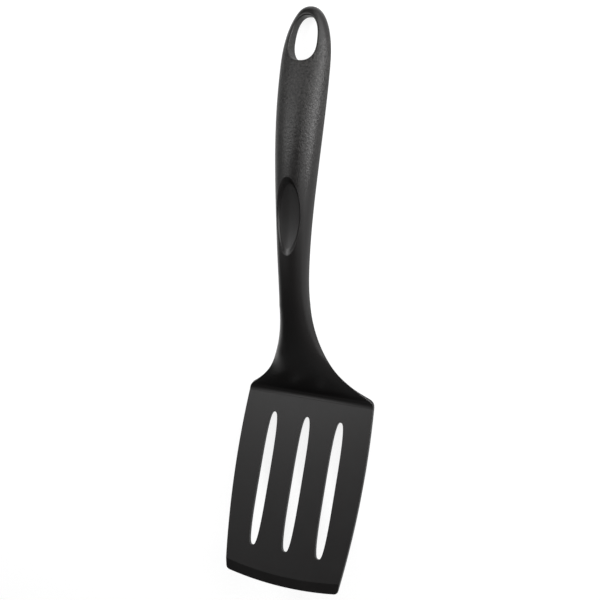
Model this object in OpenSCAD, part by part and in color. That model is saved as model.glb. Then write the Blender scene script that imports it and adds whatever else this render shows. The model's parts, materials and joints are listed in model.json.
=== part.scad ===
// Slotted kitchen turner, moulded in one shot from black nylon.
// The sections below are the working zones of that one moulding, cut where the tool changes its
// finish or its form. They meet face to face, and nothing on the turner moves.
//
// It lies as it does on a table: on the heel behind the blade and on the end of the handle, with
// the blade tipped up. X is across, Y runs from the blade to the handle's end, Z is up.

/* [Blade] */
// Length from the fold to the middle of the front edge
blade_len = 109; // [90:0.5:130]
// Widest width of the blade
blade_w = 80; // [70:0.5:90]
// How much narrower the blade is at its front corners, before they are rounded
front_narrowing = 10; // [4:0.5:16]
// Distance from the fold to the widest place
blade_widest_at = 35; // [20:1:50]
// Thickness of the plate
blade_t = 2.2; // [1.6:0.1:3.2]
// How far the middle of the front edge stands ahead of its corners
front_bulge = 2.9; // [1.5:0.1:6]
// Radius of the two front corners
front_corner_r = 2.6; // [1:0.1:5]

/* [Lip] */
// Width of the bevelled lip along the front edge
lip_run = 5.7; // [3:0.1:9]
// Thickness left at the front edge
lip_edge_t = 0.9; // [0.5:0.1:1.4]

/* [Drain slots] */
// Number of slots
slot_count = 3; // [1:2:3]
// Distance between the middles of neighbouring slots
slot_pitch = 20.8; // [14:0.1:23]
// Width of a slot at its middle
slot_w = 6.8; // [4.5:0.1:10]
// Distance from the fold to the near ends of the slots
slot_from_fold = 13.2; // [10:0.1:18]
// Distance from the lip to the far ends of the slots
slot_from_lip = 13.7; // [8:0.1:30]

/* [Fold and shoulder] */
// Slope of the shoulder above the blade, just behind the fold
fold_angle = 54; // [35:1:60]
// Radius of the fold, at the middle of the plate's thickness
fold_r = 6; // [4:0.5:10]
// How much wider than the blade the shoulder's curve would be, if it ran on to the fold
flare_extra = 10; // [6:0.5:20]
// Distance from the fold over which the shoulder narrows to the neck
flare_run = 94; // [80:1:110]

/* [Handle] */
// Length of the handle along its curve, from the start of the fold to the tip
handle_run = 222.5; // [190:0.5:260]
// Width of the neck, at its narrowest
neck_w = 16.2; // [13:0.2:20]
// Width of the grip, at its widest
grip_w = 27.8; // [22:0.2:32]
// Height of the grip's crown above the parting line
crown_h = 12.4; // [8:0.2:15]
// Depth of the grip's back below the parting line
back_h = 3.6; // [3:0.1:7]
// Distance from the fold at which the neck starts to widen into the grip
swell_from = 66; // [60:1:85]
// Distance from the fold at which the grip is widest
swell_to = 186; // [170:1:195]
// Length of the rounded end, seen from above
end_run = 33.5; // [26:1:38]
// Radius of the tip, seen from the side
tip_r = 3.6; // [2:0.1:4]

/* [Thumb rest] */
// Distance from the start of the fold to the middle of the dished rest
thumb_at = 113; // [100:0.5:125]
// Length of the dish
thumb_len = 41; // [30:0.5:48]
// Width of the dish
thumb_w = 14; // [10:0.2:16]
// Depth of the dish below the crown
thumb_depth = 2.6; // [1.5:0.1:4]

/* [Hanging eye] */
// Distance from the tip to the middle of the eye
eye_from_tip = 17.7; // [15:0.1:20]
// Length of the eye
eye_len = 23.8; // [18:0.2:28]
// Width of the eye
eye_w = 15.8; // [11:0.2:18]

/* [Hidden] */

// One overrun for every cut
overrun = 1;

// Rules of the outline of a drain slot and of the hanging eye: 2 is an ellipse, more is squarer
slot_power = 3.3;
eye_power = 2.6;
// How much narrower than its middle the eye is at the tip's end, and wider at the grip's end
eye_taper_share = 0.1;
outline_steps = 44;

// The handle's slope above the blade, in degrees, at these shares of its length behind the fold
slope_shares = [0, 0.08, 0.16, 0.25, 0.38, 0.65, 1];
slopes = [fold_angle, 45, 35.5, 29.5, 21, 13, 6];

// Height of the crown and depth of the back, at these shares of the handle's length
height_at_shares = [0, 0.03, 0.10, 0.20, 0.45, 0.70, 0.88, 1];
crown_shares = [0, 0.03, 0.20, 0.47, 0.82, 1, 0.75, 0.37];
back_shares = [0, 0.03, 0.26, 0.70, 1, 0.90, 0.35, 0];
// Squareness of the cross section at the same shares: the plate is flat, the grip is round
square_powers = [16, 12, 6, 3.2, 2.3, 2.2, 2.3, 2.4];
flare_power = 4;
end_power = 2.3;
// How sharply the shoulder's curve turns into the blade's side
corner_power = 30;

// Where one section ends and the next begins, along the handle's curve
fold_run = fold_r * fold_angle * PI / 180;
thumb_margin = thumb_depth;
eye_margin = eye_w / 4;
shoulder_to = flare_run / 2;
neck_to = thumb_at - thumb_len / 2 - thumb_margin;
thumb_to = thumb_at + thumb_len / 2 + thumb_margin;
eye_from = handle_run - eye_from_tip - eye_len / 2 - eye_margin;
// The last cross section stops short of the tip by this share of the tip's radius
tip_stop_share = 0.005;

// Points round one cross section, points along the handle's curve, and the cross sections from
// one end of each section to the other
ring_points = 44;
path_steps = 240;
heel_steps = 8;
shoulder_steps = 20;
neck_steps = 16;
thumb_steps = 30;
grip_steps = 18;
eye_steps = 22;

// Radii of the blade's arcs, from their chords and heights
blade_half = blade_w / 2;
side_in = front_narrowing / 2;
front_half = blade_half - side_in;
side_run = blade_len - front_bulge - blade_widest_at;
side_r = (side_run * side_run + side_in * side_in) / (2 * side_in);
front_r = (front_half * front_half + front_bulge * front_bulge) / (2 * front_bulge);
side_centre = [blade_half - side_r, -blade_widest_at];
front_centre = [0, front_r - blade_len];
// The centre of a front corner lies its own radius inside both arcs
corner_centre = meet(side_centre, side_r - front_corner_r, front_centre, front_r - front_corner_r);

// The fold starts this far ahead of the corner that its two faces would make
fold_setback = fold_r * tan(fold_angle / 2);
rear_half = side_x(-fold_setback);

slot_len = blade_len - lip_run - slot_from_fold - slot_from_lip;
flare_half = blade_half + flare_extra / 2;

// Where two circles cross, on the right of the line from the first centre to the second
function meet(a, ra, b, rb) =
    let (d = norm(b - a))
    let (along = (d * d + ra * ra - rb * rb) / (2 * d))
    let (off = sqrt(ra * ra - along * along))
    let (u = (b - a) / d)
    a + u * along + [u[1], -u[0]] * off;

// Half the blade's width at a place y
function side_x(y) = side_centre[0] + sqrt(side_r * side_r - pow(y - side_centre[1], 2));

function angle_of(from, to) = atan2(to[1] - from[1], to[0] - from[0]);

function arc(centre, r, from, to, steps) = [
    for (i = [0 : steps])
        let (a = from + (to - from) * i / steps)
        centre + r * [cos(a), sin(a)]
];

// A closed outline between an ellipse and a rectangle
function oval(half_w, half_l, power, steps) = [
    for (i = [0 : steps - 1])
        let (a = 360 * i / steps)
        [half_w * bow(cos(a), power), half_l * bow(sin(a), power)]
];
function bow(c, power) = sign(c) * pow(abs(c), 2 / power);

// The eye's outline: an oval, a little narrower toward the tip
function eye_outline() = [
    for (p = oval(eye_w / 2, eye_len / 2, eye_power, outline_steps))
        [p[0] * (1 - eye_taper_share * 2 * p[1] / eye_len), p[1]]
];

// Smooth value between stations, with the slope at each taken from its neighbours
function between(at, stations, values) =
    let (last = len(stations) - 1)
    let (i = max([0, for (k = [0 : last - 1]) if (stations[k] <= at) k]))
    let (step = stations[i + 1] - stations[i])
    let (t = (at - stations[i]) / step)
    let (m0 = trend(i, stations, values) * step)
    let (m1 = trend(i + 1, stations, values) * step)
    (1 + 2 * t) * pow(1 - t, 2) * values[i] + t * pow(1 - t, 2) * m0
        + t * t * (3 - 2 * t) * values[i + 1] + t * t * (t - 1) * m1;
function trend(i, stations, values) =
    let (a = max(i - 1, 0))
    let (b = min(i + 1, len(stations) - 1))
    (values[b] - values[a]) / (stations[b] - stations[a]);

function ease(t) = let (q = min(max(t, 0), 1)) q * q * (3 - 2 * q);

// Slope of the handle at a distance s along its curve
function slope(s) =
    s < fold_run
        ? fold_angle * s / fold_run
        : between((s - fold_run) / (handle_run - fold_run), slope_shares, slopes);

// The handle's curve in the plane of symmetry: a table of [y, z], from the start of the fold
path_step = handle_run / path_steps;
path = [
    for (i = 0, p = [-fold_setback, -blade_t / 2]; i <= path_steps;
         p = p + path_step * [cos(slope((i + 0.5) * path_step)), sin(slope((i + 0.5) * path_step))],
         i = i + 1)
        p
];
function path_at(s) =
    let (n = min(floor(s / path_step), path_steps - 1))
    let (t = s / path_step - n)
    path[n] * (1 - t) + path[n + 1] * t;

// Half width of the handle: the shoulder's flare, the neck, the swell of the grip, the round end
function free_half(s) =
    neck_w / 2
        + (flare_half - neck_w / 2) * pow(max(1 - s / flare_run, 0), flare_power)
        + (grip_w - neck_w) / 2 * ease((s - swell_from) / (swell_to - swell_from));
function half_w(s) =
    let (free = free_half(s))
    let (near = rear_half * pow(1 + pow(rear_half / free, corner_power), -1 / corner_power))
    let (q = max(s - (handle_run - end_run), 0) / end_run)
    near * sqrt(max(1 - pow(q, end_power), 0));

// Height above and depth below the parting line
function tip_round(s) =
    let (q = max(s - (handle_run - tip_r), 0) / tip_r)
    sqrt(max(1 - q * q, 0));
function crown(s) =
    (blade_t / 2 + (crown_h - blade_t / 2) * between(s / handle_run, height_at_shares, crown_shares))
        * tip_round(s);
function back(s) =
    (blade_t / 2 + (back_h - blade_t / 2) * between(s / handle_run, height_at_shares, back_shares))
        * tip_round(s);
function power_at(s) = between(s / handle_run, height_at_shares, square_powers);

// Depth of the thumb rest's dish at a place x across and s along
function dish(x, s) =
    let (q = pow(2 * x / thumb_w, 2) + pow(2 * (s - thumb_at) / thumb_len, 2))
    q < 1 ? thumb_depth * sqrt(1 - q) * (1 - q / 2) : 0;

// One closed cross section of the handle, square to its curve at s
function ring(s, dished) =
    let (c = path_at(s))
    let (a = slope(s))
    let (power = power_at(s))
    [
        for (i = [0 : ring_points - 1])
            let (turn = 360 * (i + 0.5) / ring_points)
            let (x = half_w(s) * bow(cos(turn), power))
            let (full = (turn < 180 ? crown(s) : back(s)) * bow(sin(turn), power))
            let (h = dished && turn < 180 ? full - dish(x, s) : full)
            [x, c[0] - h * sin(a), c[1] + h * cos(a)]
    ];

function evenly(from, to, steps) = [for (i = [0 : steps]) from + (to - from) * i / steps];
// Closer together toward the far end, where the tip rounds off
function closing(from, to, steps) = [for (i = [0 : steps]) from + (to - from) * sin(90 * i / steps)];

// A solid through the cross sections at the given distances
module loft(stations, dished = false) {
    n = ring_points;
    last = len(stations) - 1;
    points = [for (s = stations) each ring(s, dished)];
    sides = [
        for (k = [0 : last - 1], i = [0 : n - 1])
            let (j = (i + 1) % n)
            each [
                [k * n + i, (k + 1) * n + i, (k + 1) * n + j],
                [k * n + i, (k + 1) * n + j, k * n + j]
            ]
    ];
    near_cap = [for (i = [0 : n - 1]) i];
    far_cap = [for (i = [n - 1 : -1 : 0]) last * n + i];
    polyhedron(points, concat([near_cap], sides, [far_cap]), convexity = 6);
}

// The turner is tipped from the blade's own plane onto the line that touches both the round of
// the fold and the underside of the handle's end
fold_centre = [-fold_setback, fold_r - blade_t / 2];
underside = [
    for (s = closing(eye_from, handle_run, path_steps))
        path_at(s) - back(s) * [-sin(slope(s)), cos(slope(s))]
];
heel_outer_r = fold_r + blade_t / 2;
rest_tilt = min([for (p = underside) angle_of(fold_centre, p) + asin(heel_outer_r / norm(p - fold_centre))]);
function tipped_y(p) = p[0] * cos(rest_tilt) + p[1] * sin(rest_tilt);
function tipped_z(p) = p[1] * cos(rest_tilt) - p[0] * sin(rest_tilt);
floor_z = min([for (p = underside) tipped_z(p)]);
front_y = tipped_y([-blade_len, -blade_t]);
tip_y = tipped_y(path[path_steps]);

module at_rest() {
    translate([0, -(front_y + tip_y) / 2, -floor_z])
        rotate([-rest_tilt, 0, 0])
            children();
}

// The whole outline of the blade, from the fold round the front edge and back
module blade_outline() {
    side_steps = 14;
    corner_steps = 6;
    front_steps = 12;
    side_end = angle_of(side_centre, corner_centre);
    front_end = angle_of(front_centre, corner_centre);
    rear = asin((blade_widest_at - fold_setback) / side_r);
    right = concat(
        arc(front_centre, front_r, -90, front_end, front_steps),
        arc(corner_centre, front_corner_r, front_end, side_end, corner_steps),
        arc(side_centre, side_r, side_end, rear, side_steps)
    );
    left = [for (i = [len(right) - 1 : -1 : 1]) [-right[i][0], right[i][1]]];
    polygon(concat(right, left));
}

module slots() {
    for (i = [0 : slot_count - 1])
        translate([(i - (slot_count - 1) / 2) * slot_pitch, -slot_from_fold - slot_len / 2])
            polygon(oval(slot_w / 2, slot_len / 2, slot_power, outline_steps));
}

// Steps round the large arc between the plate and its lip
lip_fn = 360;

// Flat plate with the drain slots through it
module blade() {
    color("#2b2b2d")
        at_rest()
            translate([0, 0, -blade_t])
                difference() {
                    intersection() {
                        linear_extrude(blade_t)
                            blade_outline();
                        translate([front_centre[0], front_centre[1], -overrun])
                            cylinder(h = blade_t + 2 * overrun, r = front_r - lip_run, $fn = lip_fn);
                    }
                    translate([0, 0, -overrun])
                        linear_extrude(blade_t + 2 * overrun)
                            slots();
                }
}

// Bevelled front edge that slides under the food
module blade_lip() {
    inner = front_r - lip_run;
    outer = front_r + overrun;
    color("#1c1c1e")
        at_rest()
            translate([0, 0, -blade_t])
                intersection() {
                    linear_extrude(blade_t + overrun)
                        blade_outline();
                    translate([front_centre[0], front_centre[1], 0])
                        rotate_extrude($fn = lip_fn)
                            polygon([
                                [inner, 0],
                                [outer, 0],
                                [outer, lip_edge_t],
                                [front_r, lip_edge_t],
                                [inner, blade_t]
                            ]);
                }
}

// The bend that carries the blade, and the line that the turner rests on
module heel() {
    color("#1a1a1c")
        at_rest()
            loft(evenly(0, fold_run, heel_steps));
}

// Sloping web that narrows from the blade's width to the neck
module shoulder() {
    color("#19191b")
        at_rest()
            loft(evenly(fold_run, shoulder_to, shoulder_steps));
}

module neck() {
    color("#1c1c1e")
        at_rest()
            loft(evenly(shoulder_to, neck_to, neck_steps));
}

// The handle's stretch with the smooth dish for the thumb
module thumb_rest() {
    color("#222224")
        at_rest()
            loft(evenly(neck_to, thumb_to, thumb_steps), dished = true);
}

// The grained stretch that the palm closes round
module grip() {
    color("#29292b")
        at_rest()
            loft(evenly(thumb_to, eye_from, grip_steps));
}

// The handle's round end with the eye through it
module hanging_eye() {
    middle = handle_run - eye_from_tip;
    c = path_at(middle);
    a = slope(middle);
    reach = crown_h + back_h + overrun;
    color("#252527")
        at_rest()
            difference() {
                loft(closing(eye_from, handle_run - tip_stop_share * tip_r, eye_steps));
                translate([0, c[0], c[1]])
                    rotate([a, 0, 0])
                        translate([0, 0, -reach])
                            linear_extrude(2 * reach)
                                polygon(eye_outline());
            }
}

blade();
blade_lip();
heel();
shoulder();
neck();
thumb_rest();
grip();
hanging_eye();
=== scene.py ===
import json
import math

import bpy
from mathutils import Euler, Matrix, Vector


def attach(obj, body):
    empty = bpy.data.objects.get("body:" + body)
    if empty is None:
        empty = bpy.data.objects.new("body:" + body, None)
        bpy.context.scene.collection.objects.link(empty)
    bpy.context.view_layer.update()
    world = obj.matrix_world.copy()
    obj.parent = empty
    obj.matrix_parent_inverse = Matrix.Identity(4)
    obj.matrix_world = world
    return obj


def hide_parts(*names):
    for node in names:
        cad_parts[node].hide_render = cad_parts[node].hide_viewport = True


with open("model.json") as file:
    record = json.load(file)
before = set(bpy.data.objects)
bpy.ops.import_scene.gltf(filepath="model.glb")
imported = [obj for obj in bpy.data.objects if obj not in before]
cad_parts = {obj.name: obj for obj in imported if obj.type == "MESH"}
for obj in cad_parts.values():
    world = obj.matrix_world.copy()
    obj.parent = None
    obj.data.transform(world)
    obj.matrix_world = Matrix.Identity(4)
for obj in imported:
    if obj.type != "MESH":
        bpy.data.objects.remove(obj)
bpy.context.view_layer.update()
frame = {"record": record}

# A slotted kitchen turner, moulded in one shot from black nylon. Each of its zones is a closed
# piece that stands for one solid of the frame. All sizes are in millimetres in the blade's own
# plane: x across, y toward the handle, z up from the blade's top face. The handle is measured
# along its own curve by s, which starts at the rear of the flat blade.

MM = 0.001

# Sizes of the moulding, as in the frame

BLADE_LEN = 109
BLADE_W = 80
FRONT_NARROWING = 10
BLADE_WIDEST_AT = 35
BLADE_T = 2.2
FRONT_BULGE = 2.9
FRONT_CORNER_R = 2.6
LIP_RUN = 5.7
LIP_EDGE_T = 0.9

SLOT_COUNT = 3
SLOT_PITCH = 20.8
SLOT_W = 6.8
SLOT_FROM_FOLD = 13.2
SLOT_FROM_LIP = 13.7
# How square the slots' ends are: 2 would make an ellipse
SLOT_POWER = 3.3

FOLD_ANGLE = 54
FOLD_R = 6
FLARE_EXTRA = 10
FLARE_RUN = 94
# The flare falls off by the first power toward the neck, and the second keeps the corner tight
# where it meets the blade's side
FLARE_POWER = 4
CORNER_POWER = 30

HANDLE_RUN = 222.5
NECK_W = 16.2
GRIP_W = 27.8
CROWN_H = 12.4
BACK_H = 3.6
SWELL_FROM = 66
SWELL_TO = 186
END_RUN = 33.5
# How square the end is, seen from above
END_POWER = 2.3
TIP_R = 3.6

THUMB_AT = 113
THUMB_LEN = 41
THUMB_W = 14
THUMB_DEPTH = 2.6

EYE_FROM_TIP = 17.7
EYE_LEN = 23.8
EYE_W = 15.8
# How square the eye is, and how much narrower it gets toward the tip
EYE_POWER = 2.5
EYE_TAPER = 0.15

# The handle's slope in degrees, its crown and back as shares of their full heights, and how
# square its cross section is, at shares of its length. The slopes after the first are a fit to
# the photograph's outline, made outside this script and rounded to half a degree
SLOPE_SHARES = [0, 0.08, 0.16, 0.25, 0.38, 0.65, 1]
SLOPES = [FOLD_ANGLE, 45, 35.5, 29.5, 21, 13, 6]
HEIGHT_SHARES = [0, 0.03, 0.10, 0.20, 0.45, 0.70, 0.88, 1]
CROWN_SHARES = [0, 0.03, 0.20, 0.47, 0.82, 1, 0.75, 0.37]
BACK_SHARES = [0, 0.03, 0.26, 0.70, 1, 0.90, 0.35, 0]
SQUARE_POWERS = [16, 12, 6, 3.2, 2.3, 2.2, 2.3, 2.4]

# Sizes that only the finished surface has

# Rounding of the blade's edges and of the slots' edges
EDGE_R = 0.2
# A narrow flat strip beside each rounding keeps the shading of the flat face clean
HOLD = 0.06
# A thin ring beside each joint carries the shading on across it
JOINT_RING = 0.05
# The web is a shallow arch on the plate's thin edge, its sides roll over more and more up to
# the second place, and between the last two it turns into an oval with no edge
ARCH_TO = 14
ROLLED_FROM = 36
EDGE_TO = 40
OVAL_FROM = 64
# How much of a full oval's width the section has as an arch, and what each change adds
ARCH_SHARE = 0.4
ROLL_SHARE = 0.55
OVAL_SHARE = 0.05
# The share of its thickness that the plate's edge loses by the end of the arch
EDGE_THINNING = 0.75
# The edge stands out by this much beside the web: it comes out over this run, and goes back
# over twice the run
EDGE_OUT = 0.85
EDGE_OUT_FROM = 18
EDGE_OUT_RUN = 18
# The fold's inner side is a little hollow, deepest here along the bend, and even again after
# this run
FOLD_HOLLOW = 0.4
FOLD_HOLLOW_AT = 3
FOLD_HOLLOW_RUN = 7
# The thumb rest: a short steep wall round a scooped floor, wider toward the grip
DISH_WALL_W = 1.3
DISH_WALL_H = 0.25
DISH_SCOOP = 2.8
DISH_EGG = 0.06
# The wall is higher by this much at the end toward the grip, so the floor climbs to the neck
DISH_RAMP = 2.0
# Rounding of the eye's rims
EYE_TOP_R = 1.2
EYE_BACK_R = 2.0
# The finished bore is slimmer than the solid's by this much on each side
EYE_SLIM = 0.2

# Working values

BLADE_HALF = BLADE_W / 2
SIDE_IN = FRONT_NARROWING / 2
FRONT_HALF = BLADE_HALF - SIDE_IN
SIDE_RUN = BLADE_LEN - FRONT_BULGE - BLADE_WIDEST_AT
SIDE_R = (SIDE_RUN ** 2 + SIDE_IN ** 2) / (2 * SIDE_IN)
FRONT_R = (FRONT_HALF ** 2 + FRONT_BULGE ** 2) / (2 * FRONT_BULGE)
SIDE_CENTRE = Vector((BLADE_HALF - SIDE_R, -BLADE_WIDEST_AT))
FRONT_CENTRE = Vector((0, FRONT_R - BLADE_LEN))
FOLD_SETBACK = FOLD_R * math.tan(math.radians(FOLD_ANGLE / 2))
FOLD_RUN = FOLD_R * math.radians(FOLD_ANGLE)
SLOT_LEN = BLADE_LEN - LIP_RUN - SLOT_FROM_FOLD - SLOT_FROM_LIP
FLARE_HALF = BLADE_HALF + FLARE_EXTRA / 2
SHOULDER_TO = FLARE_RUN / 2
NECK_TO = THUMB_AT - THUMB_LEN / 2 - THUMB_DEPTH
THUMB_TO = THUMB_AT + THUMB_LEN / 2 + THUMB_DEPTH
EYE_AT = HANDLE_RUN - EYE_FROM_TIP
EYE_FROM = EYE_AT - EYE_LEN / 2 - EYE_W / 4

# From the blade's plane to the turner at rest

# The record's mount on the blade's underside gives the tilt of the blade and its place
foot = next(m for m in frame["record"]["mounts"] if m["name"] == "blade_underside")
UP = -Vector(foot["axis"]).normalized()
ALONG = Vector((0, UP.z, -UP.y))
ACROSS = Vector((1, 0, 0))
foot_x = SLOT_PITCH / 2
foot_y = -SLOT_FROM_FOLD - SLOT_LEN / 2
ORIGIN = Vector(foot["pos_m"]) - MM * (foot_x * ACROSS + foot_y * ALONG - BLADE_T * UP)


def at_rest(x, y, z):
    """A place in the blade's plane, in metres on the turner at rest."""
    return ORIGIN + MM * (x * ACROSS + y * ALONG + z * UP)


# The handle's form


def trend(i, stations, values):
    """Slope at a station, from the ones before and after it."""
    a = max(i - 1, 0)
    b = min(i + 1, len(stations) - 1)
    return (values[b] - values[a]) / (stations[b] - stations[a])


def between(at, stations, values):
    """Value at a place, on a smooth curve through all the stations."""
    i = max(k for k in range(len(stations) - 1) if k == 0 or stations[k] <= at)
    step = stations[i + 1] - stations[i]
    t = (at - stations[i]) / step
    m0 = trend(i, stations, values) * step
    m1 = trend(i + 1, stations, values) * step
    low = (1 + 2 * t) * (1 - t) ** 2 * values[i] + t * (1 - t) ** 2 * m0
    high = t * t * (3 - 2 * t) * values[i + 1] + t * t * (t - 1) * m1
    return low + high


def ease(t):
    """From 0 to 1 as t goes from 0 to 1, starting and ending gently."""
    q = min(max(t, 0), 1)
    return q * q * (3 - 2 * q)


def slope(s):
    """Slope of the handle above the blade, in radians, at a distance s along its curve."""
    if s < FOLD_RUN:
        return math.radians(FOLD_ANGLE * s / FOLD_RUN)
    return math.radians(between((s - FOLD_RUN) / (HANDLE_RUN - FOLD_RUN), SLOPE_SHARES, SLOPES))


PATH_STEPS = 240
PATH_STEP = HANDLE_RUN / PATH_STEPS
path = [Vector((-FOLD_SETBACK, -BLADE_T / 2))]
for i in range(PATH_STEPS):
    a = slope((i + 0.5) * PATH_STEP)
    path.append(path[-1] + PATH_STEP * Vector((math.cos(a), math.sin(a))))


def path_at(s):
    """Place [y, z] of the handle's curve at a distance s."""
    n = min(int(s / PATH_STEP), PATH_STEPS - 1)
    return path[n].lerp(path[n + 1], s / PATH_STEP - n)


def side_x(y):
    """Half the blade's width at a place y."""
    return SIDE_CENTRE.x + math.sqrt(SIDE_R ** 2 - (y - SIDE_CENTRE.y) ** 2)


REAR_HALF = side_x(-FOLD_SETBACK)


def half_w(s):
    """Half width: the shoulder's flare, the neck, the swell of the grip, the round end."""
    flare = (FLARE_HALF - NECK_W / 2) * max(1 - s / FLARE_RUN, 0) ** FLARE_POWER
    swell = (GRIP_W - NECK_W) / 2 * ease((s - SWELL_FROM) / (SWELL_TO - SWELL_FROM))
    free = NECK_W / 2 + flare + swell
    near = REAR_HALF * (1 + (REAR_HALF / free) ** CORNER_POWER) ** (-1 / CORNER_POWER)
    q = max(s - (HANDLE_RUN - END_RUN), 0) / END_RUN
    return near * math.sqrt(max(1 - q ** END_POWER, 0))


def tip_round(s):
    """Share of its height that the handle keeps where its tip is rounded."""
    q = max(s - (HANDLE_RUN - TIP_R), 0) / TIP_R
    return math.sqrt(max(1 - q * q, 0))


def crown(s):
    """Height of the handle's top above its curve."""
    rise = between(s / HANDLE_RUN, HEIGHT_SHARES, CROWN_SHARES)
    past = (s - FOLD_HOLLOW_AT) / FOLD_HOLLOW_RUN
    hollow = FOLD_HOLLOW * ease(s / FOLD_HOLLOW_AT) * (1 - ease(past))
    return (BLADE_T / 2 + (CROWN_H - BLADE_T / 2) * rise) * tip_round(s) - hollow


def back(s):
    """Depth of the handle's underside below its curve."""
    drop = between(s / HANDLE_RUN, HEIGHT_SHARES, BACK_SHARES)
    return (BLADE_T / 2 + (BACK_H - BLADE_T / 2) * drop) * tip_round(s)


def squareness(s):
    return between(s / HANDLE_RUN, HEIGHT_SHARES, SQUARE_POWERS)


def bow(c, power):
    """Turn a cosine or sine into a place on an oval of this squareness."""
    return math.copysign(abs(c) ** (2 / power), c)


def shell(x, s, height):
    """Height of the crown, or depth of the back, at a place x across and s along."""
    q = min(abs(x) / max(half_w(s), 1e-6), 1)
    power = squareness(s)
    return height(s) * (1 - q ** power) ** (1 / power)


def on_handle(x, s, h):
    """A place x across, s along and h above the handle's curve, on the turner at rest."""
    c = path_at(s)
    a = slope(s)
    return at_rest(x, c.x - h * math.sin(a), c.y + h * math.cos(a))


# Faces in half a cross section, points that it is worked out from, and steps in its edge's round
HALF_RING = 48
FINE = 240
CORNER_STEPS = 8


def half_section(s, height):
    """Points [x, h] of half a cross section, from the right parting line to the left one.

    It is an oval cut off above its widest place, so that it stands on an edge. The points are
    spread by length and by turn together, so that tight corners get their share."""
    roll = ease((s - ARCH_TO) / (ROLLED_FROM - ARCH_TO))
    oval = ease((s - EDGE_TO) / (OVAL_FROM - EDGE_TO))
    power = 2 + (squareness(s) - 2) * roll
    kept = ARCH_SHARE + ROLL_SHARE * roll + OVAL_SHARE * oval
    cut = (1 - kept ** power) ** (1 / power)
    r = EDGE_R * (1 - oval)
    edge = BLADE_T / 2 * (1 - EDGE_THINNING * ease(s / ARCH_TO)) * (1 - oval) - r
    away = (s - EDGE_OUT_FROM) / EDGE_OUT_RUN
    w = half_w(s) + EDGE_OUT * ease(away) * (1 - ease((away - 1) / 2))
    top = height(s)
    inner = []
    for k in range(FINE + 1):
        q = bow(math.cos(math.pi / 2 * k / FINE), power)
        rise = ((1 - (kept * q) ** power) ** (1 / power) - cut) / (1 - cut)
        inner.append(((w - r) * q, edge + (top - r - edge) * rise))
    facing = []
    for (x, h), (next_x, next_h) in zip(inner, inner[1:]):
        facing.append(math.atan2(x - next_x, next_h - h))
    corner = [facing[0] * k / CORNER_STEPS for k in range(CORNER_STEPS)] if r > 0 else []
    fine = [(w, 0)]
    fine += [(inner[0][0] + r * math.cos(a), inner[0][1] + r * math.sin(a)) for a in corner]
    fine += [(x + r * math.cos(a), h + r * math.sin(a)) for (x, h), a in zip(inner[1:], facing)]
    fine = [Vector(p) for p in fine]
    quarter = w + top
    reach = [0.0]
    last = math.pi / 2
    for k in range(len(fine) - 1):
        step = fine[k + 1] - fine[k]
        lean = math.atan2(step.y, -step.x)
        reach.append(reach[-1] + step.length / quarter + abs(last - lean) / (math.pi / 2))
        last = lean
    half = HALF_RING // 2
    points = []
    k = 0
    for i in range(half + 1):
        aim = reach[-1] * i / half
        while k < len(fine) - 2 and reach[k + 1] < aim:
            k += 1
        t = (aim - reach[k]) / max(reach[k + 1] - reach[k], 1e-12)
        points.append(fine[k].lerp(fine[k + 1], min(t, 1)))
    points[0].y = 0
    points[-1].x = 0
    return points + [Vector((-p.x, p.y)) for p in reversed(points[:-1])]


# Shaping


def only(piece):
    """Leave one object selected and active, and nothing else."""
    bpy.ops.object.select_all(action="DESELECT")
    piece.select_set(True)
    bpy.context.view_layer.objects.active = piece


def sheet(name, columns, rows, place):
    """A sheet of quads, each of its points carried to place(column, row).

    The moulding curves two ways nearly everywhere and its section changes all along, which the
    edit tools can't follow, so its skin is laid out point by point and then closed up."""
    bpy.ops.object.select_all(action="DESELECT")
    bpy.ops.mesh.primitive_grid_add(x_subdivisions=columns, y_subdivisions=rows, size=2)
    piece = bpy.context.object
    piece.name = name
    piece.data.name = name
    for v in piece.data.vertices:
        column = round((v.co.x + 1) / 2 * columns)
        row = round((v.co.y + 1) / 2 * rows)
        v.co = place(column, row)
    return piece


def join(pieces):
    """Make one object of several."""
    only(pieces[0])
    for piece in pieces[1:]:
        piece.select_set(True)
    bpy.ops.object.join()
    return bpy.context.object


# Points closer than this, in metres, are one
MERGE = 0.000002
# Edges that turn by less than this many degrees are shaded smooth
SMOOTH_UP_TO = 32


def close_up(piece, merge=MERGE):
    """Close the seams, fill what is still open, and turn the faces outward."""
    only(piece)
    bpy.ops.object.mode_set(mode="EDIT")
    bpy.ops.mesh.select_all(action="SELECT")
    bpy.ops.mesh.remove_doubles(threshold=merge)
    bpy.ops.mesh.fill_holes(sides=0)
    bpy.ops.mesh.select_all(action="SELECT")
    bpy.ops.mesh.dissolve_degenerate(threshold=merge)
    bpy.ops.mesh.normals_make_consistent(inside=False)
    bpy.ops.object.mode_set(mode="OBJECT")


def smooth(piece):
    only(piece)
    bpy.ops.object.shade_smooth_by_angle(angle=math.radians(SMOOTH_UP_TO))


# Zones that are plain runs of cross sections


def places(start, end, steps):
    """Places of a zone's cross sections, with one close beside each joint."""
    inner = [start + (end - start) * i / steps for i in range(1, steps)]
    return [start, start + JOINT_RING] + inner + [end - JOINT_RING, end]


def section_run(name, stations):
    """A zone whose skin runs straight on from one cross section to the next."""
    rings = []
    for s in stations:
        over = [on_handle(p.x, s, p.y) for p in half_section(s, crown)]
        under = [on_handle(p.x, s, -p.y) for p in half_section(s, back)]
        rings.append(over + under[-2::-1])
    piece = sheet(name, 2 * HALF_RING, len(stations) - 1, lambda column, row: rings[row][column])
    close_up(piece)
    smooth(piece)
    return piece


heel = section_run("heel_bend", places(0, FOLD_RUN, 16))
shoulder = section_run("shoulder_web", places(FOLD_RUN, SHOULDER_TO, 44))
neck = section_run("neck_stem", places(SHOULDER_TO, NECK_TO, 40))
grip = section_run("palm_grip", places(THUMB_TO, EYE_FROM, 48))

# Thumb rest

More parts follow.
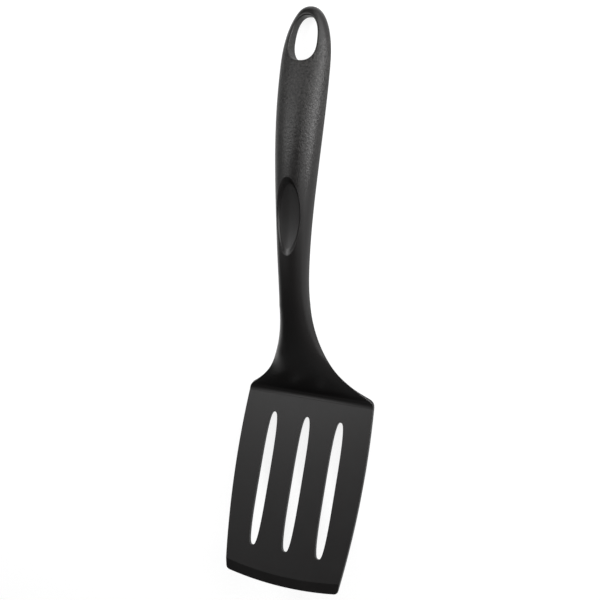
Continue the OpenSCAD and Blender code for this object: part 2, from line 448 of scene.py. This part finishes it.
# Points round the dish and round the eye, and rows in the dish's floor and in its wall
AROUND = 160
FLOOR_ROWS = 18
WALL_ROWS = 12
HALF_LEN = THUMB_LEN / 2
HALF_THUMB = THUMB_W / 2


def dish_at(x, s):
    """Depth of the thumb rest's dish below the crown."""
    along = (s - THUMB_AT) / HALF_LEN
    across = x / (HALF_THUMB * (1 + DISH_EGG * along))
    q = math.hypot(across, along)
    if q >= 1:
        return 0
    wall = ease((1 - q) * HALF_THUMB / DISH_WALL_W)
    return (DISH_WALL_H + DISH_RAMP * (1 + along) / 2) * wall + DISH_SCOOP * (1 - q * q)


def dish_rows():
    """Shares from the middle of the dish (0) to its rim (1), close together at the wall."""
    floor = [i / FLOOR_ROWS for i in range(FLOOR_ROWS - 1)]
    wall = [1 - DISH_WALL_W / HALF_THUMB * (1 - i / WALL_ROWS) for i in range(WALL_ROWS + 1)]
    return [q for q in floor if q < wall[0] - 0.02] + wall


# Shares of the way from the dish's rim (0) to the edge of the zone (1), close at both ends
OUTER_ROWS = 22
RIM_TO_EDGE = [0.02, 0.05] + [i / OUTER_ROWS for i in range(2, OUTER_ROWS)] + [0.995, 1]
inner_rows = dish_rows()


def turn_at(x, s):
    """How far round the crown a place lies, from the right parting line (0) to the left."""
    q = min(abs(x) / half_w(s), 1)
    turn = math.acos(min(q ** (squareness(s) / 2), 1))
    return turn if x >= 0 else math.pi - turn


def frame_point(k):
    """Point k round the edge of the zone, as a turn and a place along."""
    a = 2 * math.pi * k / AROUND
    c = math.cos(a)
    d = math.sin(a)
    big = max(abs(c), abs(d))
    turn = math.pi / 2 * (1 - c / big)
    s = THUMB_AT + (THUMB_TO - NECK_TO) / 2 * d / big
    return turn, s


def on_oval(turn, s, height):
    """A place at a turn round the plain cross section at s."""
    power = squareness(s)
    return on_handle(half_w(s) * bow(math.cos(turn), power), s, height * bow(math.sin(turn), power))


def thumb_top(k, row):
    """The top, in rings round the dish's middle: the dish, its rim, and out to the edge."""
    a = 2 * math.pi * k / AROUND
    if row < len(inner_rows):
        q = inner_rows[row]
        s = THUMB_AT + HALF_LEN * q * math.sin(a)
        egg = 1 + DISH_EGG * (s - THUMB_AT) / HALF_LEN
        x = HALF_THUMB * q * math.cos(a) * egg
        return on_handle(x, s, shell(x, s, crown) - dish_at(x, s))
    t = RIM_TO_EDGE[row - len(inner_rows)]
    rim_s = THUMB_AT + HALF_LEN * math.sin(a)
    rim_x = HALF_THUMB * math.cos(a) * (1 + DISH_EGG * math.sin(a))
    rim_turn = turn_at(rim_x, rim_s)
    turn, s = frame_point(k)
    turn = rim_turn + (turn - rim_turn) * t
    s = rim_s + (s - rim_s) * t
    return on_oval(turn, s, crown(s))


top = sheet("thumb_dish", AROUND, len(inner_rows) + len(RIM_TO_EDGE) - 1, thumb_top)
side_places = [frame_point(k)[1] for k in range(-AROUND // 8, AROUND // 8 + 1)]


def thumb_back(column, row):
    """The underside, in cross sections that end where the top's edge does."""
    s = side_places[row]
    return on_oval(math.pi * column / HALF_RING, s, -back(s))


under = sheet("thumb_back", HALF_RING, len(side_places) - 1, thumb_back)
thumb = join([top, under])
close_up(thumb)
smooth(thumb)

# Hanging eye


def eye_point(a):
    """Point of the eye's outline at a turn a, from the eye's middle: narrower toward the tip."""
    x = (EYE_W / 2 - EYE_SLIM) * bow(math.cos(a), EYE_POWER)
    y = EYE_LEN / 2 * bow(math.sin(a), EYE_POWER)
    return Vector((x * (1 - EYE_TAPER * 2 * y / EYE_LEN), y))


def eye_edge(k, grow):
    """Point k of the eye's outline, grown outward into the material."""
    a = 2 * math.pi * k / AROUND
    here = eye_point(a)
    run = (eye_point(a + 0.01) - here).normalized()
    return here + grow * Vector((run.y, -run.x)) + Vector((0, EYE_AT))


# A place is found between a near and a far one by halving the way this many times
HALVINGS = 40
# Surely outside the turner, from the eye's middle
FAR_OUT = 60


def end_edge(k):
    """Point k of the zone's outline seen from above: the cut, the sides and the round tip."""
    a = 2 * math.pi * k / AROUND
    direction = Vector((math.cos(a), math.sin(a)))
    near = 0
    far = FAR_OUT
    for _ in range(HALVINGS):
        mid = (near + far) / 2
        p = Vector((0, EYE_AT)) + mid * direction
        inside = EYE_FROM < p.y < HANDLE_RUN and abs(p.x) < half_w(p.y)
        near, far = (mid, far) if inside else (near, mid)
    return Vector((0, EYE_AT)) + near * direction


# Rows from the parting line to the eye's rim, and steps in the rim's rounding
EYE_BAND = 26
ROUND_STEPS = 8


def rim_rows(r):
    """Insets and drops of a rim's rounding, from the face to the wall."""
    rows = []
    for i in range(ROUND_STEPS + 1):
        a = math.pi / 2 * i / ROUND_STEPS
        rows.append((r * (1 - math.sin(a)), r * (1 - math.cos(a))))
    return rows


def eye_rows():
    """Rows from the parting line over the crown, down the bore and back over the underside."""
    rows = []
    for height, r in ((crown, EYE_TOP_R), (back, EYE_BACK_R)):
        outward = [math.sin(math.pi / 2 * (1 - i / EYE_BAND)) for i in range(EYE_BAND)] + [0.02]
        band = [("band", height, share, r) for share in outward]
        rim = [("rim", height, inset, drop) for inset, drop in rim_rows(r)]
        rows.append(band + rim)
    return rows[0] + rows[1][::-1]


ring_rows = eye_rows()
end_edges = [end_edge(k) for k in range(AROUND)]
# The outline's two corners are points of their own, so that the neighbours meet without a gap
cut_corners = [Vector((side * half_w(EYE_FROM), EYE_FROM)) for side in (1, -1)]
for cut_corner in cut_corners:
    nearest = min(range(AROUND), key=lambda k: (end_edges[k] - cut_corner).length)
    end_edges[nearest] = cut_corner


def eye_place(k, row):
    """A place in the skin round the eye, in rings that run from the outline to the bore."""
    kind, height, *sizes = ring_rows[row]
    side = 1 if height is crown else -1
    if kind == "rim":
        inset, drop = sizes
        p = eye_edge(k, inset)
        return on_handle(p.x, p.y, side * (shell(p.x, p.y, height) - drop))
    share, r = sizes
    p = eye_edge(k, r).lerp(end_edges[k % AROUND], share)
    on_parting_line = share == 1 and (p.y > EYE_FROM + 0.01 or p in cut_corners)
    h = 0 if on_parting_line else shell(p.x, p.y, height)
    return on_handle(p.x, p.y, side * h)


eye = sheet("eye_ring", AROUND, len(ring_rows) - 1, eye_place)
close_up(eye)
smooth(eye)

# Blade

# Turns of the rows in an edge's rounding, in degrees
ROUND_ANGLES = [0, 15, 30, 45, 60, 75, 90]


def rim_insets(r):
    """Insets and drops across an edge's rounding, from the flat face to the wall."""
    rows = [(r + HOLD, 0)]
    for degrees in ROUND_ANGLES:
        a = math.radians(degrees)
        rows.append((r * (1 - math.sin(a)), r * (1 - math.cos(a))))
    return rows


def meet(a, ra, b, rb):
    """Where two circles cross, on the right of the line from the first centre to the second."""
    d = (b - a).length
    along = (d * d + ra * ra - rb * rb) / (2 * d)
    off = math.sqrt(ra * ra - along * along)
    u = (b - a) / d
    return a + u * along + Vector((u.y, -u.x)) * off


def angle_of(start, end):
    return math.atan2(end.y - start.y, end.x - start.x)


def arc(centre, r, start, end, steps):
    turns = [start + (end - start) * i / steps for i in range(steps + 1)]
    return [centre + r * Vector((math.cos(a), math.sin(a))) for a in turns]


# The crease between plate and lip, the middle of the front corner's round, and where the
# crease and the rear edge meet the side
CREASE_R = FRONT_R - LIP_RUN
corner = meet(SIDE_CENTRE, SIDE_R - FRONT_CORNER_R, FRONT_CENTRE, FRONT_R - FRONT_CORNER_R)
crease_end = meet(SIDE_CENTRE, SIDE_R, FRONT_CENTRE, CREASE_R)
side_rear = Vector((REAR_HALF, -FOLD_SETBACK))
# Steps along half the crease, a side and half the rear edge
FRONT_STEPS = 40
SIDE_STEPS = 60
REAR_STEPS = 30
# The rear edge's own points start this far in from the corner
REAR_IN = 1


def plate_outline():
    """Points of the plate's outline, each with the way that its edge's rounding goes in."""
    points = []
    middle = -math.pi / 2
    crease = arc(FRONT_CENTRE, CREASE_R, middle, angle_of(FRONT_CENTRE, crease_end), FRONT_STEPS)
    for p in crease[:-1]:
        points.append((p, None))
    side = arc(SIDE_CENTRE, SIDE_R, angle_of(SIDE_CENTRE, crease_end),
               angle_of(SIDE_CENTRE, side_rear), SIDE_STEPS)
    for i, p in enumerate(side):
        inward = (SIDE_CENTRE - p).normalized()
        cut = inward
        if i == 0:
            radial = (p - FRONT_CENTRE).normalized()
            cut = Vector((radial.y, -radial.x))
        if i == len(side) - 1:
            cut = Vector((-1, 0))
        if cut.dot(inward) < 0:
            cut = -cut
        points.append((p, cut / cut.dot(inward)))
    for i in range(REAR_STEPS + 1):
        points.append((Vector(((REAR_HALF - REAR_IN) * (1 - i / REAR_STEPS), -FOLD_SETBACK)), None))
    mirror = []
    for p, cut in reversed(points[1:-1]):
        mirror.append((Vector((-p.x, p.y)), cut and Vector((-cut.x, cut.y))))
    return points + mirror


SLOT_AROUND = 128


def slot_point(a):
    x = SLOT_W / 2 * bow(math.cos(a), SLOT_POWER)
    y = SLOT_LEN / 2 * bow(math.sin(a), SLOT_POWER)
    return Vector((x, y))


def slot_outline(middle_x):
    """Points of a slot's outline, each with the way that its edge's rounding goes out."""
    centre = Vector((middle_x, -SLOT_FROM_FOLD - SLOT_LEN / 2))
    points = []
    for k in range(SLOT_AROUND):
        a = 2 * math.pi * k / SLOT_AROUND
        run = (slot_point(a + 0.001) - slot_point(a - 0.001)).normalized()
        points.append((centre + slot_point(a), Vector((run.y, -run.x))))
    return points


def edge_band(name, outline):
    """The wall round an outline, with its rounded upper and lower edges."""
    insets = rim_insets(EDGE_R)
    rows = [(inset, -drop, 0) for inset, drop in insets]
    rows += [(inset, drop - BLADE_T, -BLADE_T) for inset, drop in reversed(insets)]

    def place(column, row):
        p, cut = outline[column % len(outline)]
        inset, z, square_z = rows[row]
        if cut is None:
            return Vector((p.x, p.y, square_z))
        return Vector((*(p + inset * cut), z))

    return sheet(name, len(outline), len(rows) - 1, place)


# The blade is still in millimetres here: how far apart points of one flat face may lie, and
# how near to each other points are that become one, before and after its faces are filled
FLAT = 0.0005
SEAM = 0.002
CLOSE = 0.001


def fill_face(piece, z):
    """Fill the flat face at height z between its outline and the slots."""
    only(piece)
    bpy.ops.object.mode_set(mode="EDIT")
    bpy.ops.mesh.select_all(action="DESELECT")
    bpy.ops.mesh.select_mode(type="EDGE")
    bpy.ops.mesh.select_non_manifold(extend=False, use_wire=False, use_boundary=True,
                                     use_multi_face=False, use_non_contiguous=False, use_verts=False)
    bpy.ops.object.mode_set(mode="OBJECT")
    for e in piece.data.edges:
        ends = [piece.data.vertices[v] for v in e.vertices]
        e.select = e.select and all(abs(v.co.z - z) < FLAT for v in ends)
    bpy.ops.object.mode_set(mode="EDIT")
    bpy.ops.mesh.fill(use_beauty=True)
    bpy.ops.object.mode_set(mode="OBJECT")


def lay_down(piece):
    """Carry a piece from the blade's plane to the turner at rest."""
    for v in piece.data.vertices:
        v.co = at_rest(*v.co)


bands = [edge_band("blade_plate", plate_outline())]
for i in range(SLOT_COUNT):
    bands.append(edge_band("slot_wall", slot_outline((i - (SLOT_COUNT - 1) / 2) * SLOT_PITCH)))
plate = join(bands)
only(plate)
bpy.ops.object.mode_set(mode="EDIT")
bpy.ops.mesh.select_all(action="SELECT")
bpy.ops.mesh.remove_doubles(threshold=SEAM)
bpy.ops.object.mode_set(mode="OBJECT")
fill_face(plate, 0)
fill_face(plate, -BLADE_T)
close_up(plate, merge=CLOSE)
lay_down(plate)
smooth(plate)

# Lip

corner_from = angle_of(FRONT_CENTRE, corner)
corner_to = angle_of(SIDE_CENTRE, corner)


def inside_by(x, y):
    """Distance from the blade's outline, counted inward."""
    p = Vector((abs(x), y))
    if corner_from < angle_of(corner, p) < corner_to:
        return FRONT_CORNER_R - (p - corner).length
    return min(FRONT_R - (p - FRONT_CENTRE).length, SIDE_R - (p - SIDE_CENTRE).length)


def on_circle(r, a):
    return FRONT_CENTRE + r * Vector((math.sin(a), -math.cos(a)))


# Surely past the end of the lip, in radians
WIDE_ANGLE = 0.3


def half_angle(r):
    """Half the angle that the outline leaves of a circle about the front edge's centre."""
    near = 0
    far = WIDE_ANGLE
    for _ in range(HALVINGS):
        mid = (near + far) / 2
        if inside_by(*on_circle(r, mid)) > 1e-9:
            near = mid
        else:
            far = mid
    return near


LIP_COLUMNS = 80
LIP_ROWS = 16
lip_insets = [inset for inset, drop in reversed(rim_insets(EDGE_R))]
lip_radii = [FRONT_R - inset for inset in lip_insets]
inner_edge = lip_radii[-1]
lip_radii += [CREASE_R + (inner_edge - CREASE_R) * (1 - i / LIP_ROWS) for i in range(1, LIP_ROWS)]
lip_radii += [CREASE_R + HOLD, CREASE_R]
half_angles = [half_angle(min(r, FRONT_R - 1e-6)) for r in lip_radii]
lip_span = len(lip_insets) * 2 + LIP_COLUMNS - 1


def lip_place(column, row):
    """A place on the lip seen from above; the left half mirrors the right one."""
    r = lip_radii[row]
    side = 1
    if column > lip_span / 2:
        column = lip_span - column
        side = -1
    if column < len(lip_insets):
        a = half_angles[row] - lip_insets[column] / r
    else:
        a_start = half_angles[row] - lip_insets[-1] / r
        share = (column - len(lip_insets) + 1) / ((lip_span + 1) / 2 - len(lip_insets) + 0.5)
        a = a_start * (1 - share)
    p = on_circle(r, a * side)
    return Vector((p.x, p.y, 0))


def rounding(p):
    """How far the edge's rounding takes the surface down at a place."""
    q = min(max(inside_by(p.x, p.y), 0) / EDGE_R, 1)
    return EDGE_R * (1 - math.sqrt(1 - (1 - q) ** 2))


lip = sheet("front_lip", lip_span, len(lip_radii) - 1, lip_place)
only(lip)
bpy.ops.object.mode_set(mode="EDIT")
bpy.ops.mesh.select_all(action="SELECT")
bpy.ops.mesh.extrude_region_move(TRANSFORM_OT_translate={"value": (0, 0, -BLADE_T)})
bpy.ops.object.mode_set(mode="OBJECT")
for v in lip.data.vertices:
    drop = rounding(v.co)
    if v.co.z < -BLADE_T / 2:
        v.co.z = drop - BLADE_T
    else:
        out = ((v.co.xy - FRONT_CENTRE).length - CREASE_R) / LIP_RUN
        v.co.z = -(BLADE_T - LIP_EDGE_T) * max(out, 0) - drop
close_up(lip, merge=CLOSE)
lay_down(lip)
smooth(lip)

# Materials


def linear(hex_colour):
    """A colour written in sRGB hex, as linear red, green, blue and full cover."""
    parts = [int(hex_colour[i:i + 2], 16) / 255 for i in (1, 3, 5)]
    out = [p / 12.92 if p <= 0.04045 else ((p + 0.055) / 1.055) ** 2.4 for p in parts]
    return (*out, 1)


def add(tree, kind, feeds, **settings):
    """Add a node with its settings; feeds are values, or sockets of other nodes to link."""
    made = tree.nodes.new(kind)
    for name, value in settings.items():
        setattr(made, name, value)
    for name, value in feeds.items():
        if isinstance(value, bpy.types.NodeSocket):
            tree.links.new(value, made.inputs[name])
        else:
            made.inputs[name].default_value = value
    return made


def new_material(name):
    material = bpy.data.materials.new(name)
    material.use_nodes = True
    material.node_tree.nodes.clear()
    return material


def per_metre(size_mm):
    """Scale of a pattern whose features are this size."""
    return 1 / (size_mm * MM)


NYLON_IOR = 1.53
# Matched to the photograph: the moulded faces mirror less than flat nylon would, which has 0.5
MIRRORED = 0.22


def satin_blade_nylon():
    """Black nylon moulded against a vapour-blasted face: a fine even satin that scatters light
    widely, with faint clouds about 9 mm across where the melt has cooled unevenly. The pits that
    blasting leaves are about 0.05 mm, finer than a pixel, so they are drawn at 0.7 mm."""
    material = new_material("vapour_blasted_nylon")
    tree = material.node_tree
    place = add(tree, "ShaderNodeTexCoord", {}).outputs["Object"]
    cloud = add(tree, "ShaderNodeTexNoise",
                {"Vector": place, "Scale": per_metre(9), "Detail": 3, "Roughness": 0.6}).outputs["Fac"]
    matt = add(tree, "ShaderNodeMapRange",
               {"Value": cloud, "From Min": 0.3, "From Max": 0.7, "To Min": 0.37, "To Max": 0.42})
    tone = add(tree, "ShaderNodeMixRGB",
               {"Fac": cloud, "Color1": linear("#100f0f"), "Color2": linear("#131212")})
    pits = add(tree, "ShaderNodeTexNoise",
               {"Vector": place, "Scale": per_metre(0.7), "Detail": 3, "Roughness": 0.6}).outputs["Fac"]
    relief = add(tree, "ShaderNodeBump", {"Height": pits, "Strength": 1, "Distance": 0.004 * MM})
    shader = add(tree, "ShaderNodeBsdfPrincipled",
                 {"Base Color": tone.outputs["Color"], "Roughness": matt.outputs["Result"],
                  "Normal": relief.outputs["Normal"], "IOR": NYLON_IOR,
                  "Specular IOR Level": MIRRORED})
    add(tree, "ShaderNodeOutputMaterial", {"Surface": shader.outputs["BSDF"]})
    return material


def place_along(s):
    """Where a distance s along the handle's curve lies on the turner's own length."""
    return on_handle(0, s, 0).y


def polished_handle_nylon():
    """Black nylon moulded against hand-polished steel: a soft, even gloss with the slow waves,
    about 7 mm long, that polishing leaves. The blade's satin runs on a few millimetres into the
    bend."""
    material = new_material("polished_moulded_nylon")
    tree = material.node_tree
    place = add(tree, "ShaderNodeTexCoord", {}).outputs["Object"]
    along = add(tree, "ShaderNodeSeparateXYZ", {"Vector": place}).outputs["Y"]
    # The satin runs out into the gloss along the bend
    gloss = add(tree, "ShaderNodeMapRange",
                {"Value": along, "From Min": place_along(3), "From Max": place_along(9),
                 "To Min": 0.39, "To Max": 0.35}, interpolation_type="SMOOTHSTEP")
    wave = add(tree, "ShaderNodeTexNoise",
               {"Vector": place, "Scale": per_metre(7), "Detail": 3, "Roughness": 0.6}).outputs["Fac"]
    uneven = add(tree, "ShaderNodeMapRange",
                 {"Value": wave, "From Min": 0.3, "From Max": 0.7, "To Min": -0.01, "To Max": 0.01})
    matt = add(tree, "ShaderNodeMath", {0: gloss.outputs["Result"], 1: uneven.outputs["Result"]},
               operation="ADD")
    relief = add(tree, "ShaderNodeBump", {"Height": wave, "Strength": 1, "Distance": 0.01 * MM})
    shader = add(tree, "ShaderNodeBsdfPrincipled",
                 {"Base Color": linear("#111010"), "Roughness": matt.outputs["Value"],
                  "Normal": relief.outputs["Normal"], "IOR": NYLON_IOR,
                  "Specular IOR Level": MIRRORED})
    add(tree, "ShaderNodeOutputMaterial", {"Surface": shader.outputs["BSDF"]})
    return material


def eroded_grip_nylon():
    """Black nylon moulded against spark-eroded steel: small craters break the gloss up into a
    grain of light and dark specks, by their bump and by painted colour: painted shade on the
    craters' floors and painted sheen on the land between them. The grain fades in along the
    thumb rest, is full below the eye and nearly gone on the round end. Real craters are about
    0.1 mm, finer than a pixel, so they are drawn at 1.3 mm."""
    material = new_material("spark_eroded_nylon")
    tree = material.node_tree
    place = add(tree, "ShaderNodeTexCoord", {}).outputs["Object"]
    along = add(tree, "ShaderNodeSeparateXYZ", {"Vector": place}).outputs["Y"]
    # How much grain there is at each place along the handle
    fade_in = add(tree, "ShaderNodeMapRange",
                  {"Value": along, "From Min": place_along(108), "From Max": place_along(190)},
                  interpolation_type="SMOOTHSTEP")
    fade_out = add(tree, "ShaderNodeMapRange",
                   {"Value": along, "From Min": place_along(196), "From Max": place_along(212),
                    "To Min": 1, "To Max": 0.2}, interpolation_type="SMOOTHSTEP")
    grained = add(tree, "ShaderNodeMath",
                  {0: fade_in.outputs["Result"], 1: fade_out.outputs["Result"]},
                  operation="MULTIPLY").outputs["Value"]
    crater = add(tree, "ShaderNodeTexNoise",
                 {"Vector": place, "Scale": per_metre(1.3), "Detail": 3,
                  "Roughness": 0.65}).outputs["Fac"]
    # The craters' floors are painted darker, as painted shade, and the land between them lighter, as
    # painted sheen
    crater_shade_and_sheen = add(tree, "ShaderNodeMapRange", {"Value": crater, "From Min": 0.38, "From Max": 0.66})
    painted_speckle = add(tree, "ShaderNodeMixRGB",
                  {"Fac": crater_shade_and_sheen.outputs["Result"], "Color1": linear("#050404"),
                   "Color2": linear("#242322")})
    # The speckle's painted shade and painted sheen are mixed into the colour where the grip is grained
    tone = add(tree, "ShaderNodeMixRGB",
               {"Fac": grained, "Color1": linear("#111010"), "Color2": painted_speckle.outputs["Color"]})
    wave = add(tree, "ShaderNodeTexNoise",
               {"Vector": place, "Scale": per_metre(7), "Detail": 3, "Roughness": 0.6}).outputs["Fac"]
    gloss = add(tree, "ShaderNodeMapRange",
                {"Value": wave, "From Min": 0.3, "From Max": 0.7, "To Min": 0.34, "To Max": 0.36})
    matt = add(tree, "ShaderNodeMapRange",
               {"Value": grained, "To Min": gloss.outputs["Result"], "To Max": 0.44})
    depth = add(tree, "ShaderNodeMath", {0: crater, 1: grained}, operation="MULTIPLY")
    grain = add(tree, "ShaderNodeBump",
                {"Height": depth.outputs["Value"], "Strength": 1, "Distance": 0.4 * MM})
    relief = add(tree, "ShaderNodeBump", {"Height": wave, "Strength": 1, "Distance": 0.01 * MM,
                                          "Normal": grain.outputs["Normal"]})
    shader = add(tree, "ShaderNodeBsdfPrincipled",
                 {"Base Color": tone.outputs["Color"], "Roughness": matt.outputs["Result"],
                  "Normal": relief.outputs["Normal"], "IOR": NYLON_IOR,
                  "Specular IOR Level": MIRRORED})
    add(tree, "ShaderNodeOutputMaterial", {"Surface": shader.outputs["BSDF"]})
    return material


satin_nylon = satin_blade_nylon()
smooth_nylon = polished_handle_nylon()
grained_nylon = eroded_grip_nylon()

pieces = [
    (plate, "blade", "blade_nylon", satin_nylon),
    (lip, "blade_lip", "blade_nylon", satin_nylon),
    (heel, "heel", "smooth_nylon", smooth_nylon),
    (shoulder, "shoulder", "smooth_nylon", smooth_nylon),
    (neck, "neck", "smooth_nylon", smooth_nylon),
    (thumb, "thumb_rest", "grip_nylon", grained_nylon),
    (grip, "grip", "grip_nylon", grained_nylon),
    (eye, "hanging_eye", "grip_nylon", grained_nylon),
]
for piece, node_name, slot, material in pieces:
    piece.data.materials.clear()
    piece.data.materials.append(material)
    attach(piece, "root")
    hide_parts(node_name)

# Floor, light and camera

# So wide that a low view still has floor behind the turner
bpy.ops.mesh.primitive_plane_add(size=80)
floor = bpy.context.object
floor.name = "floor"

# How strongly the floor's white glows, and the share of it that shows the shadow instead
WHITE_GLOW = 1.13
SHADOW_SHARE = 0.25


def studio_floor():
    """A plain pale floor: white to the eye and in reflections, with the turner's soft shadow on
    it, and dull card to the light that bounces off it."""
    material = new_material("pale_floor")
    tree = material.node_tree
    rays = add(tree, "ShaderNodeLightPath", {})
    clear = add(tree, "ShaderNodeMath",
                {0: rays.outputs["Is Camera Ray"], 1: rays.outputs["Is Transmission Ray"]},
                operation="MAXIMUM")
    seen = add(tree, "ShaderNodeMath",
               {0: clear.outputs["Value"], 1: rays.outputs["Is Glossy Ray"]}, operation="MAXIMUM")
    glow = add(tree, "ShaderNodeEmission", {"Color": linear("#ffffff"), "Strength": WHITE_GLOW})
    paper = add(tree, "ShaderNodeBsdfDiffuse", {"Color": linear("#f4f4f4")})
    pale = add(tree, "ShaderNodeMixShader",
               {0: SHADOW_SHARE, 1: glow.outputs["Emission"], 2: paper.outputs["BSDF"]})
    card = add(tree, "ShaderNodeBsdfDiffuse", {"Color": linear("#626262")})
    floor_look = add(tree, "ShaderNodeMixShader",
                     {0: seen.outputs["Value"], 1: card.outputs["BSDF"], 2: pale.outputs["Shader"]})
    add(tree, "ShaderNodeOutputMaterial", {"Surface": floor_look.outputs["Shader"]})
    return material


floor.data.materials.append(studio_floor())

# The middle of the turner, which every panel faces
LIT = Vector((0, 0, 0.02))


def panel(name, place, width, height, power):
    """A soft panel of light that faces the turner."""
    data = bpy.data.lights.new(name, "AREA")
    data.shape = "RECTANGLE"
    data.size = width
    data.size_y = height
    data.energy = power
    lamp = bpy.data.objects.new(name, data)
    lamp.location = place
    lamp.rotation_euler = (Vector(place) - LIT).to_track_quat("Z", "Y").to_euler()
    bpy.context.collection.objects.link(lamp)


# Places and sizes as a fit to the photograph's shading gave them, made outside this script. The
# powers were then set by comparing renders with the photograph
panel("low_strip", (0.584, 0.224, 0.085), 0.33, 0.15, 4.5)
panel("right_window", (0.380, 0.317, 0.257), 0.61, 0.55, 5.7)
panel("rear_spot", (-0.222, 0.245, 0.376), 0.20, 0.17, 1.44)
panel("left_fill", (-0.370, 0.063, 0.349), 0.37, 0.55, 0.55)
panel("front_fill", (0.149, -0.491, 0.241), 0.90, 0.50, 0.40)

world = bpy.data.worlds.new("studio")
bpy.context.scene.world = world
world.use_nodes = True
world.node_tree.nodes.clear()
room = add(world.node_tree, "ShaderNodeBackground", {"Color": linear("#ffffff"), "Strength": 0.04})
add(world.node_tree, "ShaderNodeOutputWorld", {"Surface": room.outputs["Background"]})

# The camera's place, turn and lens as a fit to the photograph's outline gave them, made outside
# this script
camera_data = bpy.data.cameras.new("camera")
camera_data.lens = 71.675
camera_data.sensor_width = 36
camera = bpy.data.objects.new("camera", camera_data)
camera.location = (0.28497, 0.16383, 0.57920)
camera.rotation_euler = Euler([math.radians(a) for a in (-14.2781, 26.8187, 0.0938)])
bpy.context.collection.objects.link(camera)
bpy.context.scene.camera = camera

bpy.context.scene.view_settings.view_transform = "Standard"
